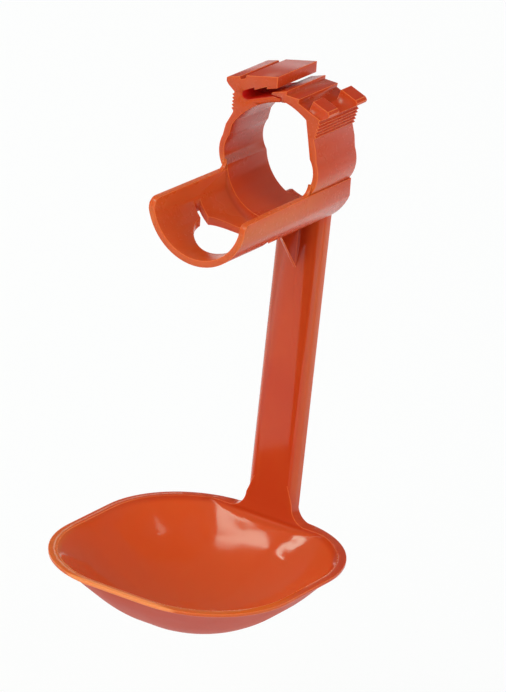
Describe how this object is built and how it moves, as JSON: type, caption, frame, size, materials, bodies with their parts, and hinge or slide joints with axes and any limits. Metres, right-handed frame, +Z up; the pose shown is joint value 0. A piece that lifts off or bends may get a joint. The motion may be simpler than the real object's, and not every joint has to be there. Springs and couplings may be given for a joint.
{
  "type": "poultry drinking cup",
  "caption": "Hanging drip cup for a poultry nipple line: pipe clip with ratchet latch, open trough, flat arm and square bowl in one moulding.",
  "frame": {"origin": "on the axis of the pipe that the clip holds, in the middle of the clip's depth", "axes": "+Y along the pipe, from the trough to the arm; +Z up, from the cup to the clip; +X to the right of someone who faces the cup"},
  "size_m": [0.0716, 0.0774, 0.1469],
  "materials": {
    "body": "glossy smooth orange-red moulded polypropylene, a little translucent"
  },
  "bodies": {
    "root": {"drip_cup": "body"}
  },
  "joints": []
}
